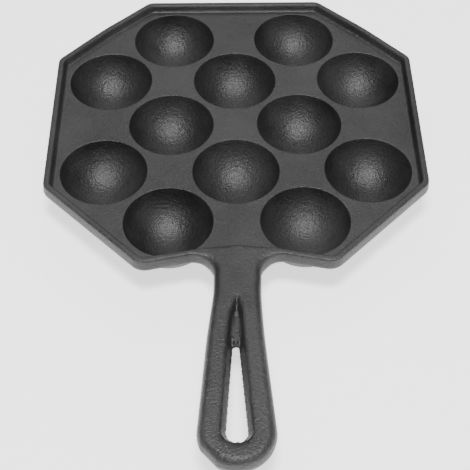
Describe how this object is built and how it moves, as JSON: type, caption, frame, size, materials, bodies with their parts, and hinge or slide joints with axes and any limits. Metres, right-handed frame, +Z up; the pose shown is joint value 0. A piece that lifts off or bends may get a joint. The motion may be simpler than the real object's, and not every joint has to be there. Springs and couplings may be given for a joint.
{
  "type": "takoyaki maker",
  "caption": "Cast-iron pan with hemispherical batter cups in an octagonal plate, a raised kerb and a flat slotted handle.",
  "frame": {"origin": "centre of the whole outline, pan and handle together, on the plane that the pan stands on", "axes": "+Z up out of the cups, -Y along the handle towards the cook, +X to the cook's right"},
  "size_m": [0.176, 0.2706, 0.0228],
  "materials": {
    "cast_iron": "matte black seasoned cast iron with a fine sand-cast grain, slightly glossier inside the cups and along worn edges"
  },
  "bodies": {
    "root": {"cup_far_left": "cast_iron", "cup_far_right": "cast_iron", "cup_second_left": "cast_iron", "cup_second_middle": "cast_iron", "cup_second_right": "cast_iron", "cup_middle_left": "cast_iron", "cup_middle_right": "cast_iron", "cup_fourth_left": "cast_iron", "cup_fourth_middle": "cast_iron", "cup_fourth_right": "cast_iron", "cup_near_left": "cast_iron", "cup_near_right": "cast_iron", "plate_far": "cast_iron", "plate_left": "cast_iron", "plate_right": "cast_iron", "plate_near": "cast_iron", "plate_far_left": "cast_iron", "plate_far_right": "cast_iron", "plate_near_left": "cast_iron", "plate_near_right": "cast_iron", "kerb_far": "cast_iron", "kerb_left": "cast_iron", "kerb_right": "cast_iron", "kerb_far_left": "cast_iron", "kerb_far_right": "cast_iron", "kerb_near_left": "cast_iron", "kerb_near_right": "cast_iron", "kerb_front_left": "cast_iron", "kerb_front_right": "cast_iron", "handle_root": "cast_iron", "handle_neck": "cast_iron", "handle_left_bar": "cast_iron", "handle_right_bar": "cast_iron", "handle_end": "cast_iron"}
  },
  "joints": []
}
